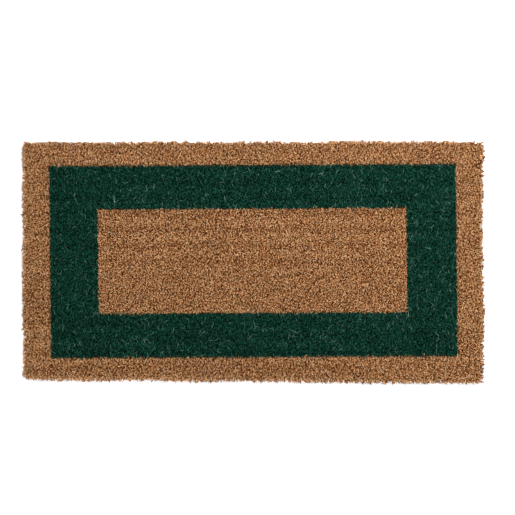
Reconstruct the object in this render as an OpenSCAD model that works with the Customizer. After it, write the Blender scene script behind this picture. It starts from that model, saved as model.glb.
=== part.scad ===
// Door mat. Short tufts of coir, the coarse fibre of coconut husk, stand upright in a cast vinyl
// sheet. The pile is sheared level, the mat is cut out with straight cuts, and a rectangular band
// is dyed green.
//
// Origin: middle of the footprint, on the floor. +X runs along the length to the right, +Y to the
// back, +Z up. All sizes in millimetres.

/* [Mat] */
// Length of the mat, over the tips of its outer tufts
mat_length = 750; // [700:5:1200]
// Width of the mat at its right-hand end
mat_width = 394; // [350:1:700]
// How much too short the left-hand end is cut, at the front
trim_error = 8; // [0:1:10]
// Radius to which the front left corner is rounded
corner_round = 10; // [6:1:20]
// Thickness of the vinyl sheet
sheet_thickness = 2; // [1.5:0.5:4]
// Height of the sheared tufts above the sheet
pile_height = 13; // [8:0.5:25]
// How far the outer tufts lean out past the cut edge of the sheet
edge_lean = 2; // [0.5:0.5:4]

/* [Green band] */
// Length of the green rectangle, outside
band_length = 665.5; // [400:0.5:680]
// Width of the green rectangle, outside
band_width = 315; // [250:1:325]
// Width of the band at its left-hand end
band_at_left = 79; // [40:1:100]
// Width of the band at its right-hand end
band_at_right = 82; // [40:1:100]
// Width of the band along the back
band_at_back = 72; // [40:1:90]
// Width of the band along the front
band_at_front = 73; // [40:1:90]
// How far the rectangle sits to the right of the middle of the mat
shift_right = 1; // [0:0.5:2]
// How far the rectangle sits behind the middle of the mat
shift_back = 3; // [0:0.5:6]
// Angle by which the band's long sides are turned from the back edge
band_turn = 0.2; // [-0.6:0.1:0.6]
// Angle by which the band's ends are out of square with its long sides
band_skew = 0.4; // [-0.6:0.1:0.6]

/* [Hidden] */

vinyl_black = "#26241F";
coir_natural = "#936745";
coir_green = "#12332A";

// Half sizes of the green rectangle, and the sides of the natural field inside it
band_x = band_length / 2;
band_y = band_width / 2;
field_left = band_at_left - band_x;
field_right = band_x - band_at_right;
field_back = band_y - band_at_back;
field_front = band_at_front - band_y;
// A distance from the middle that lies outside any mat
outside = mat_length + mat_width;
// Angle by which the band's ends are turned from the mat's ends
end_turn = band_turn + band_skew;
// Angle at which the front edge slants, and the number of short cuts round the front left corner
slant = atan(trim_error / mat_length);
corner_cuts = 8;

// The cut outline, drawn in by an inset on every side. The corner's arc runs from the left edge
// to the slanting front edge and touches both.
module outline(inset) {
    left = -mat_length / 2 + inset;
    right = mat_length / 2 - inset;
    back = mat_width / 2 - inset;
    front_right = -mat_width / 2 + inset;
    front_left = front_right + (right - left) * tan(slant);
    radius = corner_round - inset;
    arc_middle = [left + radius, front_left - radius * tan(slant) + radius / cos(slant)];
    arc_end = 270 - slant;
    arc = [
        for (i = [0:corner_cuts])
            let (a = 180 + (arc_end - 180) * i / corner_cuts)
            arc_middle + radius * [cos(a), sin(a)]
    ];
    polygon(concat(arc, [[right, front_right], [right, back], [left, back]]));
}

// The whole pile, level on top
module pile() {
    translate([0, 0, sheet_thickness])
        linear_extrude(pile_height)
            outline(0);
}

// A place given along the band's long sides and along its ends, from the middle of the band
function on_band(along, across) = [
    along * cos(band_turn) - across * sin(end_turn),
    along * sin(band_turn) + across * cos(end_turn)
];

// The part of the pile between two lengths and two widths, measured along the band
module run_of_pile(from_x, to_x, from_y, to_y) {
    intersection() {
        pile();
        translate([shift_right, shift_back, sheet_thickness])
            linear_extrude(pile_height)
                polygon([
                    on_band(from_x, from_y),
                    on_band(to_x, from_y),
                    on_band(to_x, to_y),
                    on_band(from_x, to_y)
                ]);
    }
}

// The sheet that holds the roots of all the tufts. Its edge hides under the outer tufts.
module vinyl_backing() {
    color(vinyl_black)
        linear_extrude(sheet_thickness)
            outline(edge_lean);
}

// The natural border: two runs over the full length, and two that fill the ends between them
module natural_border_back() {
    color(coir_natural)
        run_of_pile(-outside, outside, band_y, outside);
}

module natural_border_front() {
    color(coir_natural)
        run_of_pile(-outside, outside, -outside, -band_y);
}

module natural_border_left() {
    color(coir_natural)
        run_of_pile(-outside, -band_x, -band_y, band_y);
}

module natural_border_right() {
    color(coir_natural)
        run_of_pile(band_x, outside, -band_y, band_y);
}

// The green band, divided in the same way
module green_band_back() {
    color(coir_green)
        run_of_pile(-band_x, band_x, field_back, band_y);
}

module green_band_front() {
    color(coir_green)
        run_of_pile(-band_x, band_x, -band_y, field_front);
}

module green_band_left() {
    color(coir_green)
        run_of_pile(-band_x, field_left, field_front, field_back);
}

module green_band_right() {
    color(coir_green)
        run_of_pile(field_right, band_x, field_front, field_back);
}

// The natural field inside the band
module natural_centre() {
    color(coir_natural)
        run_of_pile(field_left, field_right, field_front, field_back);
}

vinyl_backing();
natural_border_back();
natural_border_front();
natural_border_left();
natural_border_right();
green_band_back();
green_band_front();
green_band_left();
green_band_right();
natural_centre();
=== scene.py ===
import math
import bpy
import numpy as np
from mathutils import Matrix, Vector
from mathutils.geometry import convex_hull_2d


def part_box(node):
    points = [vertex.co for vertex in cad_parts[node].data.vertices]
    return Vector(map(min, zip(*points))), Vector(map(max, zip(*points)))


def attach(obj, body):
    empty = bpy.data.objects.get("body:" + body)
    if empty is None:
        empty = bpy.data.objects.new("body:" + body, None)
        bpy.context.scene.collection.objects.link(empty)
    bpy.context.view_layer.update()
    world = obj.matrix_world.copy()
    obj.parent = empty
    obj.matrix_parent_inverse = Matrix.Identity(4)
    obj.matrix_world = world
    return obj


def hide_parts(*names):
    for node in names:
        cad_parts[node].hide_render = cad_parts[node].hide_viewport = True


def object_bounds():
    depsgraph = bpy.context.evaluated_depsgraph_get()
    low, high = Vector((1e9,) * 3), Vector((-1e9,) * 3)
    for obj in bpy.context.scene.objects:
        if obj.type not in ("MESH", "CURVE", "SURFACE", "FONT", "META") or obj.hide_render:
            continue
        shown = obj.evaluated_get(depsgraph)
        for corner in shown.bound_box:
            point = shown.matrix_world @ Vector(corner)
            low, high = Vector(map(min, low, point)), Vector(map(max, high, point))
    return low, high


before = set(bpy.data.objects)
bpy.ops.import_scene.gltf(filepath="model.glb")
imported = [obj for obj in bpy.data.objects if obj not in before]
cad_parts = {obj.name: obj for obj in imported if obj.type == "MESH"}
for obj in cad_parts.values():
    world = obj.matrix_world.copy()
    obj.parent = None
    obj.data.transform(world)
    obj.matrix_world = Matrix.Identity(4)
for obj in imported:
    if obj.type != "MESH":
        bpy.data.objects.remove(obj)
cad_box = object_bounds()
mm = 0.001


# Camera. It hangs straight above the mat with a long lens, so the mat's far corners don't draw
# together. The mat lies a little left of and below the middle of the view, and a hair turned.
lens_length = 100
sensor_width = 36
view_across = 841.5 * mm
look_right = 7.8 * mm
look_back = 8.9 * mm
mat_turn = math.radians(0.1)

middle = (cad_box[0] + cad_box[1]) / 2
pile_top = cad_box[1].z
stand_off = view_across * lens_length / sensor_width
bpy.ops.object.camera_add(
    location=(middle.x + look_right, middle.y + look_back, pile_top + stand_off),
    rotation=(0, 0, -mat_turn),
)
camera = bpy.context.object
camera.data.lens = lens_length
camera.data.sensor_width = sensor_width
camera.data.clip_end = 50
bpy.context.scene.camera = camera


# Floor and light. A white sheet of acrylic, lit from above by a wide white room and one large
# soft lamp at the back right, and from below by its own glow, so that no shadow shows on it.
floor_side = 40
floor_white = "#FAFAFA"
floor_glow = 0.7
room_light = 0.75
lamp_power = 62
lamp_side = 0.7
lamp_place = Vector((0.5, 0.85, 1.65))


def linear(hex_colour):
    """An sRGB hex colour as linear numbers, opaque."""
    parts = [int(hex_colour[i : i + 2], 16) / 255 for i in (1, 3, 5)]
    parts = [c / 12.92 if c <= 0.04045 else ((c + 0.055) / 1.055) ** 2.4 for c in parts]
    return (*parts, 1.0)


def new_material(name):
    """An empty node material with its output and one Principled shader."""
    material = bpy.data.materials.new(name)
    material.use_nodes = True
    shader = material.node_tree.nodes["Principled BSDF"]
    return material, material.node_tree, shader


def add_node(tree, kind, settings=None, **inputs):
    """A node with its settings and its inputs, each a value or another node's output.

    An input goes by its name, or by its number as in0 where several share a name."""
    node = tree.nodes.new(kind)
    for key, value in (settings or {}).items():
        setattr(node, key, value)
    for key, value in inputs.items():
        numbered = key.startswith("in")
        socket = node.inputs[int(key[2:]) if numbered else key.replace("_", " ")]
        if isinstance(value, bpy.types.NodeSocket):
            tree.links.new(value, socket)
        else:
            socket.default_value = value
    return node


acrylic, tree, shader = new_material("white acrylic sheet, matt")
shader.inputs["Base Color"].default_value = linear(floor_white)
shader.inputs["Roughness"].default_value = 0.9
shader.inputs["Specular IOR Level"].default_value = 0.1
shader.inputs["Emission Color"].default_value = linear(floor_white)
shader.inputs["Emission Strength"].default_value = floor_glow

bpy.ops.mesh.primitive_plane_add(size=floor_side, location=(middle.x, middle.y, cad_box[0].z))
floor = bpy.context.object
floor.name = "floor"
floor.data.materials.append(acrylic)

world = bpy.data.worlds.new("white room")
world.use_nodes = True
world.node_tree.nodes["Background"].inputs["Color"].default_value = (1, 1, 1, 1)
world.node_tree.nodes["Background"].inputs["Strength"].default_value = room_light
bpy.context.scene.world = world
bpy.context.scene.view_settings.view_transform = "Standard"

lamp_aim = (middle - lamp_place).to_track_quat("-Z", "Y").to_euler()
bpy.ops.object.light_add(type="AREA", location=lamp_place, rotation=lamp_aim)
lamp = bpy.context.object
lamp.data.size = lamp_side
lamp.data.energy = lamp_power


# Vinyl backing. One sheet of soft PVC, cast round the roots of the tufts and cut with them by
# the same straight cuts, so its edges are square. Its underside is flat with a fine cast grain.
vinyl_node = "vinyl_backing"
vinyl_black = "#26241F"
vinyl_worn = "#3A3731"
vinyl_grain = 1.2 * mm
grain_depth = 0.1 * mm
wear_size = 40 * mm
cut_softness = 0.3 * mm
weld_gap = 0.01 * mm
flat_angle = math.radians(1)

sheet_low, sheet_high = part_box(vinyl_node)
sheet_top = sheet_high.z


def copy_of(node, name):
    """A selected, active copy of a CAD node, with its loose triangles merged."""
    bpy.ops.object.select_all(action="DESELECT")
    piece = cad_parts[node].copy()
    piece.data = piece.data.copy()
    piece.name = piece.data.name = name
    for mark in [k for k in piece.keys() if k.startswith("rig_")]:
        del piece[mark]
    piece.parent = None
    bpy.context.scene.collection.objects.link(piece)
    bpy.context.view_layer.objects.active = piece
    piece.select_set(True)
    piece.data.materials.clear()
    bpy.ops.object.mode_set(mode="EDIT")
    bpy.ops.mesh.select_all(action="SELECT")
    bpy.ops.mesh.remove_doubles(threshold=weld_gap)
    bpy.ops.mesh.dissolve_limited(angle_limit=flat_angle)
    bpy.ops.object.mode_set(mode="OBJECT")
    return piece


def pick(piece, wanted):
    """Goes into edit mode on a piece with only the wanted points selected."""
    bpy.ops.object.mode_set(mode="EDIT")
    bpy.ops.mesh.select_mode(type="VERT")
    bpy.ops.mesh.select_all(action="DESELECT")
    bpy.ops.object.mode_set(mode="OBJECT")
    for point, chosen in zip(piece.data.vertices, wanted):
        point.select = bool(chosen)
    bpy.ops.object.mode_set(mode="EDIT")


# Soft cast PVC: nearly black, matt, greyer where it has rubbed on the floor
vinyl, tree, shader = new_material("soft cast PVC, matt black")
place = add_node(tree, "ShaderNodeTexCoord").outputs["Object"]
grain = add_node(tree, "ShaderNodeTexNoise", Vector=place, Scale=1 / vinyl_grain, Detail=3.0)
wear = add_node(tree, "ShaderNodeTexNoise", Vector=place, Scale=1 / wear_size, Detail=4.0)
mix = add_node(
    tree, "ShaderNodeMix", {"data_type": "RGBA"}, in0=wear.outputs["Fac"],
    in6=linear(vinyl_black), in7=linear(vinyl_worn),
)
bump = add_node(tree, "ShaderNodeBump", Height=grain.outputs["Fac"], Distance=grain_depth)
tree.links.new(mix.outputs[2], shader.inputs["Base Color"])
tree.links.new(bump.outputs["Normal"], shader.inputs["Normal"])
shader.inputs["Roughness"].default_value = 0.7

backing = copy_of(vinyl_node, "vinyl_sheet")
pick(backing, [True] * len(backing.data.vertices))
bpy.ops.mesh.bevel(offset=cut_softness, segments=2)
bpy.ops.object.mode_set(mode="OBJECT")
backing.data.materials.append(vinyl)
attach(backing, "root")
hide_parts(vinyl_node)


# Packed roots. Below their sheared tips the tufts are pressed so tightly together that they make one felt
# of fibre, coloured dark as painted shade of the deep gaps between the tufts. The dye has run down into it.
# It stands back from the cut edges.
pile_nodes = sorted(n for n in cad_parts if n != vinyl_node)
green_nodes = [n for n in pile_nodes if n.startswith("green")]
pile_height = pile_top - sheet_top
felt_height = 0.5 * pile_height
felt_set_back = 4.5 * mm
felt_fibre = 1.0 * mm
touching = 0.1 * mm
# The felt colours are dark as painted shade of the deep gaps between the tufts
shaded_felt_natural = ["#2A1206", "#6A3A1A"]
shaded_felt_green = ["#020D08", "#08291D"]


def outline_of(nodes):
    """The corners of the area that these nodes cover, anticlockwise seen from above."""
    points = np.array([v.co.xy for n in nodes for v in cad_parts[n].data.vertices])
    points = np.unique(points.round(6), axis=0)
    ring = points[convex_hull_2d([Vector(p) for p in points])]
    after = np.roll(ring, -1, axis=0)
    if (ring[:, 0] * after[:, 1] - after[:, 0] * ring[:, 1]).sum() < 0:
        ring = ring[::-1]
    return ring


def depth_in(outline, points):
    """How far each point lies inside an outline, and the way out past its nearest side.

    A point outside has a negative depth."""
    along = np.roll(outline, -1, axis=0) - outline
    along = along / np.linalg.norm(along, axis=1, keepdims=True)
    inward = np.stack([-along[:, 1], along[:, 0]], axis=1)
    depths = np.einsum("nsk,sk->ns", points[:, None] - outline[None], inward)
    nearest = depths.argmin(axis=1)
    return depths[np.arange(len(points)), nearest], -inward[nearest]


def felt_material(name, dark, light):
    """Fibre ends seen from above between the tufts: specks as wide as a fibre, on a dark ground of painted
    shade.
    """
    material, tree, shader = new_material(name)
    place = add_node(tree, "ShaderNodeTexCoord").outputs["Object"]
    specks = add_node(tree, "ShaderNodeTexNoise", Vector=place, Scale=1 / felt_fibre, Detail=2.0)
    sharp = add_node(tree, "ShaderNodeMapRange", Value=specks.outputs["Fac"], From_Min=0.35, From_Max=0.65)
    mix = add_node(
        tree, "ShaderNodeMix", {"data_type": "RGBA"}, in0=sharp.outputs["Result"],
        in6=linear(dark), in7=linear(light),
    )
    bump = add_node(tree, "ShaderNodeBump", Height=specks.outputs["Fac"], Distance=felt_fibre / 2)
    tree.links.new(mix.outputs[2], shader.inputs["Base Color"])
    tree.links.new(bump.outputs["Normal"], shader.inputs["Normal"])
    shader.inputs["Roughness"].default_value = 0.95
    shader.inputs["Specular IOR Level"].default_value = 0.05
    return material


mat_outline = outline_of(pile_nodes)
band_outline = outline_of(green_nodes)
field_outline = outline_of(["natural_centre"])
mat_size = cad_box[1] - cad_box[0]
set_back = (1 - 2 * felt_set_back / mat_size.x, 1 - 2 * felt_set_back / mat_size.y, 1)
brown_felt = felt_material("felted coir roots, natural", *shaded_felt_natural)
green_felt = felt_material("felted coir roots, dyed green", *shaded_felt_green)

# Each felt is its node with the top brought down, and with the points on the mat's edges drawn in
for node in pile_nodes:
    felt = copy_of(node, f"{node}_roots")
    points = np.array([v.co for v in felt.data.vertices])
    pick(felt, points[:, 2] > pile_top - touching)
    bpy.ops.transform.translate(value=(0, 0, felt_height - pile_height))
    bpy.ops.object.mode_set(mode="OBJECT")
    pick(felt, depth_in(mat_outline, points[:, :2])[0] < touching)
    bpy.ops.transform.resize(value=set_back, center_override=(middle.x, middle.y, 0))
    bpy.ops.object.mode_set(mode="OBJECT")
    felt.data.materials.append(green_felt if node in green_nodes else brown_felt)
    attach(felt, "root")
    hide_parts(node)


# Tufts. Locks of coir, the coarse fibre of coconut husk, stand close together in the vinyl and
# are sheared level. The band's green is dyed into them from above, through a stencil.
lock_pitch = 1.95 * mm
lock_stray = 0.18
lock_shapes = 8
lock_gather = 0.5 * mm
lock_part = 0.5 * mm
strands_in_lock = 2
strand_thick = 0.92 * mm
strand_taper = 0.8
least_rise = 0.93
rise_spread = 0.04
most_triangles = 190_000
dye_slip = 0.5 * mm

# Lean of a lock, from its root to its tip
lean_mean = 4.2 * mm
lean_evenness = 4.0
lean_splay = math.radians(32)
lean_fan = math.radians(16)
lean_curve = 1.7
edge_root = 2.4 * mm

# Ragged line to which the tips reach past the mat's outline. The cut at the right end is the roughest.
tip_reach = 2.6 * mm
end_reach = 0.6 * mm
furthest_tip = 7 * mm
ragged_end = 2.2 * mm
ragged_side = 1.0 * mm
notch_waves = [(60 * mm, 0.6), (9 * mm, 0.5), (2.5 * mm, 0.7)]
deepest_notch = -1.5
corner_worn = 2.0 * mm
corner_size = 6 * mm
edge_pitch = 0.35 * mm
edge_rows = 1.5 * mm
faces_right = 0.9

# Tones, from 0 for the darkest strand to 1 for the palest
middle_tone = 0.48
darkest_tone = 0.02
palest_tone = 0.8
lock_tone = 0.42
strand_tone = 0.47
tuft_size = 1.5 * lock_pitch
seen_part = 0.35
patch_size = 45 * mm
patch_tone = 0.02
# Painted light and shade: faint lighter and darker bands along the mat, drawn into the tones
rib_pitch = 24 * mm
rib_shading_tone = 0.058
# Painted shade: the tips near and past the mat's edges are given darker tones
edge_shade_tone = 0.38
edge_shade_width = 3 * mm
edge_shade_inside = 0.9 * mm

# Map of a strand: its tone across, its height upward. Dyed strands have the upper half of the map.
tone_across = 0.0025
map_margin = 0.01
map_height = 0.48
dyed_from = 0.5

draw = np.random.default_rng(7)


def drift(points, size, waves=14):
    """A smooth random field over the mat, its lumps of about this size and its spread 1."""
    angles = draw.uniform(0, 2 * math.pi, waves)
    sizes = size * 2 ** draw.uniform(-0.7, 0.7, waves)
    phases = draw.uniform(0, 2 * math.pi, waves)
    ways = np.stack([np.cos(angles), np.sin(angles)]) * (math.pi / sizes)
    return np.cos(points @ ways + phases).sum(axis=1) * math.sqrt(2 / waves)


def shading_bands(points, waves=3):
    """Waves across the mat with a spread of 1, each running nearly straight along it."""
    lengths = rib_pitch * draw.uniform(0.8, 1.25, waves)
    tilts = draw.normal(0, 0.005, waves)
    phases = draw.uniform(0, 2 * math.pi, waves)
    ways = np.stack([tilts, np.ones(waves)]) * (2 * math.pi / lengths)
    return np.cos(points @ ways + phases).sum(axis=1) * math.sqrt(2 / waves)


def strand(foot, steps, thick, facing):
    """One closed three-sided strand, drawn out from its foot. A step is (x, y, z, narrowing)."""
    bpy.ops.object.select_all(action="DESELECT")
    bpy.ops.mesh.primitive_circle_add(
        vertices=3, radius=thick / 2, fill_type="NGON", location=foot, rotation=facing
    )
    piece = bpy.context.object
    bpy.ops.object.transform_apply(location=True, rotation=True, scale=True)
    bpy.ops.object.mode_set(mode="EDIT")
    bpy.ops.mesh.select_all(action="SELECT")
    at = Vector(foot)
    for x, y, z, narrow in steps:
        bpy.ops.mesh.extrude_region_move(TRANSFORM_OT_translate={"value": (x, y, z)})
        at = at + Vector((x, y, z))
        bpy.ops.transform.resize(value=(narrow, narrow, narrow), center_override=at)
    bpy.ops.mesh.select_all(action="SELECT")
    bpy.ops.mesh.normals_make_consistent(inside=False)
    bpy.ops.object.mode_set(mode="OBJECT")
    return piece


def as_shape(strands):
    """Modelled strands as one shape to copy, which knows each point's strand and place across it."""
    points, faces, across, own = [], [], [], []
    for number, piece in enumerate(strands):
        start = len(points)
        faces += [[i + start for i in p.vertices] for p in piece.data.polygons]
        rings = np.array([v.co for v in piece.data.vertices]).reshape(-1, 3, 3)
        points += list(rings.reshape(-1, 3))
        across += [-1.0, 0.0, 1.0] * len(rings)
        own += [number] * 3 * len(rings)
        bpy.data.objects.remove(piece)
    return {"points": np.array(points), "faces": faces, "across": np.array(across), "strand": np.array(own)}


def lock_shape():
    """A lock of coir: strands that share a root and part towards their sheared tips."""
    strands = []
    for number in range(strands_in_lock):
        spoke = 2 * math.pi * number / strands_in_lock + draw.uniform(-0.5, 0.5)
        foot = (lock_gather * math.cos(spoke), lock_gather * math.sin(spoke), 0)
        part_x, part_y = draw.normal(0, lock_part, 2)
        thick = strand_thick * draw.uniform(0.8, 1.2)
        rise = draw.uniform(least_rise, 1.0) * pile_height
        steps = [(part_x, part_y, rise, strand_taper)]
        strands.append(strand(foot, steps, thick, (0, 0, draw.uniform(0, 2 * math.pi))))
    shape = as_shape(strands)
    shape["up"] = shape["points"][:, 2] / pile_height
    return shape


shapes = [lock_shape() for _ in range(lock_shapes)]

# The tips lie in rows, every other row set over by half a pitch
row_gap = lock_pitch * math.sqrt(3) / 2
across_mat = np.arange(cad_box[0].x - furthest_tip, cad_box[1].x + furthest_tip, lock_pitch)
up_mat = np.arange(cad_box[0].y - furthest_tip, cad_box[1].y + furthest_tip, row_gap)
grid_x, grid_y = np.meshgrid(across_mat, up_mat)
grid_x = grid_x + (np.arange(len(up_mat))[:, None] % 2) * lock_pitch / 2
tips = np.stack([grid_x.ravel(), grid_y.ravel()], axis=1)
tips += draw.normal(0, lock_stray * lock_pitch, tips.shape)

# More tips stand along the edges, where gaps between the rows would show
sides = np.roll(mat_outline, -1, axis=0) - mat_outline
for start, side in zip(mat_outline, sides):
    length = np.linalg.norm(side)
    steps = max(1, round(length / edge_pitch))
    out = np.array([side[1], -side[0]]) / length
    along = (np.arange(steps) + draw.uniform(0, 1, steps)) / steps
    row = start + along[:, None] * side
    tips = np.concatenate([tips, row + draw.uniform(-edge_rows, furthest_tip, (steps, 1)) * out])

# Tips past the ragged line are left out. The line draws in at the corners of the mat, which are
# where one side turns by more than 60 degrees from the last.
tip_gap, outward = depth_in(mat_outline, tips)
at_end = outward[:, 0] > faces_right
ragged = np.where(at_end, ragged_end, ragged_side)
on_edge = tips + outward * tip_gap[:, None]
notches = sum(high * drift(on_edge, wide) for wide, high in notch_waves)
notches = np.maximum(notches + draw.exponential(1, len(tips)) - 1, deepest_notch)
headings = sides / np.linalg.norm(sides, axis=1, keepdims=True)
corners = mat_outline[(headings * np.roll(headings, 1, axis=0)).sum(axis=1) < math.cos(math.radians(60))]
corner_gap = np.linalg.norm(tips[:, None] - corners[None], axis=2).min(axis=1)
line = tip_reach + end_reach * at_end + ragged * notches
line -= corner_worn * np.exp(-((corner_gap / corner_size) ** 2))
tips = tips[tip_gap > -np.minimum(line, furthest_tip)]
count = len(tips)

# The tufts stand in lengthwise rows and fan out across them, so each lock leans its own way, mostly
# to the back or the front. The roots stay inside the cut edge of the vinyl.
lean_way = draw.choice([-1, 1], count) * math.pi / 2
lean_way = lean_way + draw.choice([-1, 1], count) * lean_splay + draw.normal(0, lean_fan, count)
lean_by = draw.gamma(lean_evenness, lean_mean / lean_evenness, count)
lean = np.stack([np.cos(lean_way), np.sin(lean_way)], axis=1) * lean_by[:, None]
for _ in range(2):
    root_gap, outward = depth_in(mat_outline, tips - lean)
    short = edge_root - root_gap
    lean += outward * np.where(short > 0, short + draw.exponential(edge_root / 2, count), 0)[:, None]
roots = tips - lean

# Light and dark strands are well mixed, so every tuft, seen from above, has the same tone on the whole, but
# for faint bands along the mat, painted light and shade of the rows of tufts, and painted shade that
# darkens the tips at its edges
strand_tones = draw.normal(0, lock_tone, (count, 1))
strand_tones = strand_tones + draw.normal(0, strand_tone, (count, strands_in_lock))
seen_at = tips - seen_part * lean
cells = np.floor((seen_at - seen_at.min(axis=0)) / tuft_size).astype(int)
_, tuft = np.unique(cells @ [1, cells[:, 0].max() + 1], return_inverse=True)
mix = np.bincount(tuft, strand_tones.mean(axis=1)) / np.bincount(tuft)
# Painted shade on the tips near and past the mat's edges
edge_shading = np.clip((edge_shade_inside - depth_in(mat_outline, tips)[0]) / edge_shade_width, 0, 1)
# Painted light and shade in bands along the mat
level = middle_tone + patch_tone * drift(roots, patch_size) + rib_shading_tone * shading_bands(roots)
level -= edge_shade_tone * edge_shading
strand_tones += (level - mix[tuft])[:, None]
locks = {
    "root": np.column_stack([roots, np.full(count, sheet_top)]),
    "lean": np.column_stack([lean, np.zeros(count)]),
    "turn": draw.uniform(0, 2 * math.pi, count),
    "tall": 1 + draw.normal(0, rise_spread, count),
    "wide": draw.uniform(0.85, 1.2, count),
    "tone": np.clip(strand_tones, darkest_tone, palest_tone),
    "shape": draw.integers(0, lock_shapes, count),
    "slip": draw.normal(0, dye_slip, count),
}


def plant(name, shapes, places, chosen, materials):
    """One mesh of the chosen places, each a copy of a shape with its own root, turn and lean."""
    points, corners, sizes, tones, ups, zones = [], [], [], [], [], []
    start = 0
    for number, shape in enumerate(shapes):
        mine = chosen[places["shape"][chosen] == number]
        here = shape["points"]
        cos = np.cos(places["turn"][mine])[:, None]
        sin = np.sin(places["turn"][mine])[:, None]
        wide = places["wide"][mine][:, None]
        x = (here[:, 0] * cos - here[:, 1] * sin) * wide
        y = (here[:, 0] * sin + here[:, 1] * cos) * wide
        z = here[:, 2] * places["tall"][mine][:, None]
        bend = shape["up"][None, :, None] ** lean_curve * places["lean"][mine][:, None]
        copies = np.stack([x, y, z], axis=2) + bend + places["root"][mine][:, None]
        flat = np.concatenate([np.array(f) for f in shape["faces"]])
        lengths = np.array([len(f) for f in shape["faces"]])
        spots = np.stack([copies[:, f, :2].mean(axis=1) for f in shape["faces"]], axis=1)
        spots = spots.reshape(-1, 2)
        slip = np.repeat(places["slip"][mine], len(lengths))
        in_band = depth_in(band_outline, spots)[0] > slip
        in_field = depth_in(field_outline, spots)[0] > -slip
        own = places["tone"][mine][:, shape["strand"]] + tone_across * shape["across"]
        points.append(copies.reshape(-1, 3))
        offsets = start + np.arange(len(mine)) * len(here)
        corners.append((flat[None] + offsets[:, None]).ravel())
        sizes.append(np.tile(lengths, len(mine)))
        zones.append(in_band & ~in_field)
        tones.append(own[:, flat].ravel())
        ups.append(np.tile(shape["up"][flat], len(mine)))
        start += len(mine) * len(here)
    points = np.concatenate(points).astype(np.float32)
    corners = np.concatenate(corners).astype(np.int32)
    sizes = np.concatenate(sizes).astype(np.int32)
    dyed = np.concatenate(zones)
    mesh = bpy.data.meshes.new(name)
    mesh.vertices.add(len(points))
    mesh.vertices.foreach_set("co", points.ravel())
    mesh.loops.add(len(corners))
    mesh.loops.foreach_set("vertex_index", corners)
    mesh.polygons.add(len(sizes))
    starts = np.concatenate([[0], np.cumsum(sizes)[:-1]])
    mesh.polygons.foreach_set("loop_start", starts.astype(np.int32))
    mesh.polygons.foreach_set("material_index", dyed.astype(np.int32))
    mesh.update(calc_edges=True)
    own_map = mesh.uv_layers.new(name="OFBake")
    u = np.clip(np.concatenate(tones), 0.002, 0.998)
    v = map_margin + map_height * np.clip(np.concatenate(ups), 0, 1) + dyed_from * np.repeat(dyed, sizes)
    own_map.uv.foreach_set("vector", np.stack([u, v], axis=1).astype(np.float32).ravel())
    mesh.shade_smooth()
    piece = bpy.data.objects.new(name, mesh)
    bpy.context.scene.collection.objects.link(piece)
    for material in materials:
        mesh.materials.append(material)
    return piece


def coir_material(name, tones, shade, low_v):
    """Coir coloured by its map, by tone and by height, its height giving painted shade towards the roots.
    Its strands' part of the map starts at low_v.
    """
    material, tree, shader = new_material(name)
    own = add_node(tree, "ShaderNodeUVMap", {"uv_map": "OFBake"})
    split = add_node(tree, "ShaderNodeSeparateXYZ", Vector=own.outputs["UV"])
    colour = add_node(tree, "ShaderNodeValToRGB", Fac=split.outputs["X"])
    up = add_node(
        tree, "ShaderNodeMapRange", Value=split.outputs["Y"],
        From_Min=low_v + map_margin, From_Max=low_v + map_margin + map_height, To_Min=0.0, To_Max=1.0,
    )
    depth = add_node(tree, "ShaderNodeValToRGB", Fac=up.outputs["Result"])
    for ramp, stops in ((colour.color_ramp, tones), (depth.color_ramp, shade)):
        for at, _ in stops[1:-1]:
            ramp.elements.new(at)
        for stop, (at, hex_colour) in zip(ramp.elements, stops):
            stop.position = at
            stop.color = linear(hex_colour)
    mix = add_node(
        tree, "ShaderNodeMix", {"data_type": "RGBA", "blend_type": "MULTIPLY"},
        in0=1.0, in6=colour.outputs["Color"], in7=depth.outputs["Color"],
    )
    tree.links.new(mix.outputs[2], shader.inputs["Base Color"])
    shader.inputs["Roughness"].default_value = 0.8
    return material, shader


# Matt fibre, from red brown to straw, with painted shade darkening it down towards the roots. The dye turns
# it a deep green with hardly any sheen, and only the palest ends show through it.
natural_tones = [(0.0, "#2A0E03"), (0.3, "#8C491A"), (0.5, "#CE8A4C"), (0.8, "#FFD39F"), (1.0, "#F8E6CC")]
green_tones = [(0.0, "#010A06"), (0.3, "#021811"), (0.5, "#03291F"), (0.8, "#28624F"), (1.0, "#93B4A4")]
natural_shade = [(0.0, "#7E664E"), (0.45, "#7A624A"), (0.8, "#CCBFAE"), (1.0, "#FFFFFF")]
green_shade = [(0.0, "#505050"), (0.45, "#898989"), (0.8, "#E0E0E0"), (1.0, "#FFFFFF")]
natural_coir, shader = coir_material("natural coir fibre, sheared", natural_tones, natural_shade, 0.0)
shader.inputs["Specular IOR Level"].default_value = 0.06
green_coir, shader = coir_material("coir fibre dyed green, sheared", green_tones, green_shade, dyed_from)
shader.inputs["Specular IOR Level"].default_value = 0.02

triangles_in_lock = sum(len(f) - 2 for f in shapes[0]["faces"])
for node in pile_nodes:
    inside = np.flatnonzero(depth_in(outline_of([node]), roots)[0] >= 0)
    inside = inside[np.argsort(roots[inside, 0])]
    parts = math.ceil(len(inside) * triangles_in_lock / most_triangles)
    for number, chosen in enumerate(np.array_split(inside, parts)):
        name = f"{node}_tufts" if parts == 1 else f"{node}_tufts_{number + 1}"
        piece = plant(name, shapes, locks, chosen, [natural_coir, green_coir])
        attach(piece, "root")
        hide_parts(node)


# Loose strands. Ends that the shears have cut off lie on and between the tufts. On the green
# they show pale, because the dye only wets their upper side.
loose_shapes = 10
loose_length = 10 * mm
loose_thick = 0.48 * mm
longest_size = 1.1
loose_steps = 4
loose_bow = 0.14
loose_wobble = 0.07
loose_rise = 0.03
loose_taper = 0.75
loose_on_green = 7600
loose_on_natural = 5000
loose_inset = 4 * mm
loose_fan = math.radians(45)
spots_tried = 40_000
stray_ends = 700
stray_fan = 0.6
more_at_right = 2.5


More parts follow.
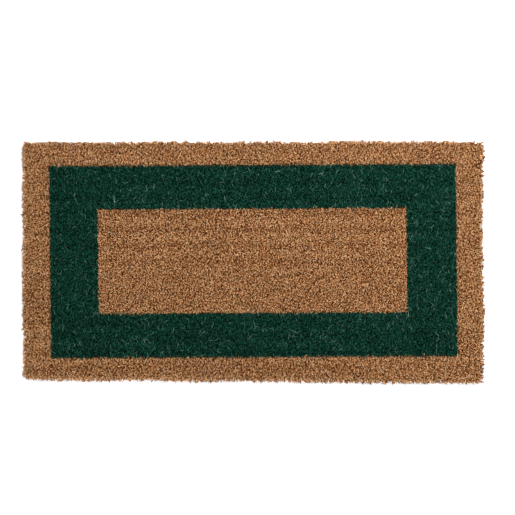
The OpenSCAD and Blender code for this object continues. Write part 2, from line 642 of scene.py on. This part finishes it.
def loose_shape():
    """A cut end of coir: a thin strand that lies along X in a slight curve, its middle at zero."""
    bow = draw.normal(0, loose_bow)
    rise = draw.normal(0, loose_rise, loose_steps)
    heading = -bow * loose_steps / 2 + draw.normal(0, loose_wobble, loose_steps).cumsum()
    heading = heading + bow * np.arange(loose_steps)
    narrow = [1.0] * (loose_steps - 1) + [loose_taper]
    step = loose_length / loose_steps
    steps = [
        (step * math.cos(a), step * math.sin(a), step * up, thin)
        for a, up, thin in zip(heading, rise, narrow)
    ]
    thick = loose_thick * draw.uniform(0.7, 1.3)
    piece = strand((-loose_length / 2, 0, 0), steps, thick, (0, math.pi / 2, 0))
    shape = as_shape([piece])
    shape["up"] = np.full(len(shape["points"]), 1.0)
    return shape


ends = [loose_shape() for _ in range(loose_shapes)]
low, high = np.array(cad_box[0])[:2], np.array(cad_box[1])[:2]
spots = draw.uniform(low, high, (spots_tried, 2))
spots = spots[depth_in(mat_outline, spots)[0] > loose_inset]
on_green = (depth_in(band_outline, spots)[0] > 0) & (depth_in(field_outline, spots)[0] < 0)


def scatter(name, spots, headings, sunk, size, tone):
    """Loose strands at these spots, each with its heading, depth below the tips, size and tone."""
    count = len(spots)
    ends_at = {
        "root": np.column_stack([spots, pile_top - sunk]),
        "lean": np.zeros((count, 3)),
        "turn": headings,
        "tall": size,
        "wide": size,
        "tone": np.clip(tone, 0.05, 0.99)[:, None],
        "shape": draw.integers(0, loose_shapes, count),
        "slip": draw.normal(0, dye_slip, count),
    }
    piece = plant(name, ends, ends_at, np.arange(count), [natural_coir, green_coir])
    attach(piece, "root")
    return piece


on_band = spots[on_green][:loose_on_green]
off_band = spots[~on_green][:loose_on_natural]
for name, slot, places, least_tone, more_tone in (
    ("loose_strands_on_green", "green_coir", on_band, 0.56, 0.19),
    ("loose_strands_on_natural", "natural_coir", off_band, 0.45, 0.15),
):
    headings = math.pi / 2 + draw.normal(0, loose_fan, len(places))
    sunk = draw.uniform(0.1, 1.2, len(places)) * mm
    size = draw.uniform(0.2, 0.5, len(places)) + draw.exponential(0.12, len(places))
    size = np.minimum(size, longest_size)
    tone = least_tone + draw.exponential(more_tone, len(places))
    scatter(name, places, headings, sunk, size, tone)

# Stray ends that the cut has caught stand out of the edges, most of them at the right end
ways = np.column_stack([sides[:, 1], -sides[:, 0]]) / np.linalg.norm(sides, axis=1, keepdims=True)
chances = np.linalg.norm(sides, axis=1) * np.where(ways[:, 0] > faces_right, more_at_right, 1)
side = draw.choice(len(sides), stray_ends, p=chances / chances.sum())
spots = mat_outline[side] + draw.uniform(0, 1, (stray_ends, 1)) * sides[side]
spots += draw.uniform(-1, 3, (stray_ends, 1)) * mm * ways[side]
headings = np.arctan2(ways[side, 1], ways[side, 0]) + draw.normal(0, stray_fan, stray_ends)
sunk = draw.uniform(0.5, 9, stray_ends) * mm
size = draw.uniform(0.5, 1.0, stray_ends)
tone = draw.uniform(0.1, 0.4, stray_ends)
scatter("stray_strands", spots, headings, sunk, size, tone)
